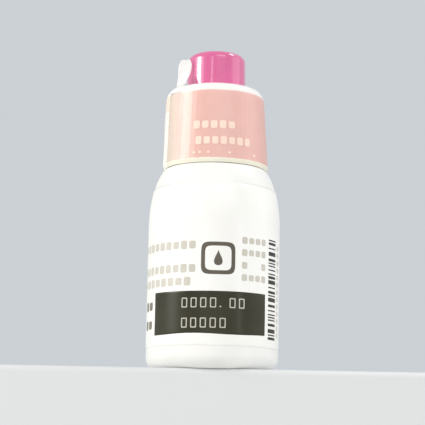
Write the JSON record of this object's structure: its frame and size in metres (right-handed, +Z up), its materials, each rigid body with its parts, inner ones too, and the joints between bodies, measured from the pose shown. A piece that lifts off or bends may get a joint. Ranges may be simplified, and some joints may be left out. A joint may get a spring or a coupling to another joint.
{
  "type": "contact lens solution bottle",
  "caption": "Small squeeze bottle for contact lens solution with a dropper plug, a two-piece screw cap under a shrink film with a tear strip and pull tab, and a wrap-round label.",
  "frame": {"origin": "centre of the foot, on the plane that the bottle stands on", "axes": "+Z up along the bottle's axis; the front of the label faces -Y"},
  "size_m": [0.025, 0.025, 0.0615],
  "materials": {
    "bottle_plastic": "white blow-moulded polyethylene, soft gloss",
    "plug_plastic": "natural white low-density polyethylene",
    "label_film": "white gloss film, printed",
    "solution": "clear watery liquid",
    "dome_plastic": "polished magenta-pink plastic",
    "collar_plastic": "white moulded plastic with fine grip ribs",
    "printed_film": "translucent salmon-pink printed shrink film",
    "white_film": "opaque white film"
  },
  "bodies": {
    "bottle": {"bottle_shell": "bottle_plastic", "nozzle_plug": "plug_plastic", "body_label": "label_film", "solution": "solution"},
    "cap_top": {"cap_dome": "dome_plastic"},
    "collar": {"screw_collar": "collar_plastic"},
    "film": {"shrink_film": "printed_film"},
    "strip": {"tear_strip": "white_film"},
    "tab": {"pull_tab": "white_film"}
  },
  "joints": [
    {"name": "cap_lift", "type": "slide", "parent": "bottle", "child": "cap_top", "axis": [0, 0, 1], "range_m": [0, 0.0225]},
    {"name": "collar_turn", "type": "hinge", "parent": "cap_top", "child": "collar", "pos_m": [0, 0, 0.0387], "axis": [0, 0, 1], "range_deg": [0, 2520]},
    {"name": "film_lift", "type": "slide", "parent": "collar", "child": "film", "axis": [0, 0, 1], "range_m": [0, 0.024]},
    {"name": "strip_peel", "type": "hinge", "parent": "film", "child": "strip", "pos_m": [-0.00989, -0.00256, 0.03835], "axis": [0.2504, -0.9681, 0], "range_deg": [0, 90]},
    {"name": "tab_fold", "type": "hinge", "parent": "strip", "child": "tab", "pos_m": [-0.00683, -0.00435, 0.05415], "axis": [0.5373, -0.8434, 0], "range_deg": [0, 100]}
  ],
  "couplings": [
    {"joint": "cap_lift", "follows": "collar_turn", "m_per_rad": 0.0005093}
  ]
}
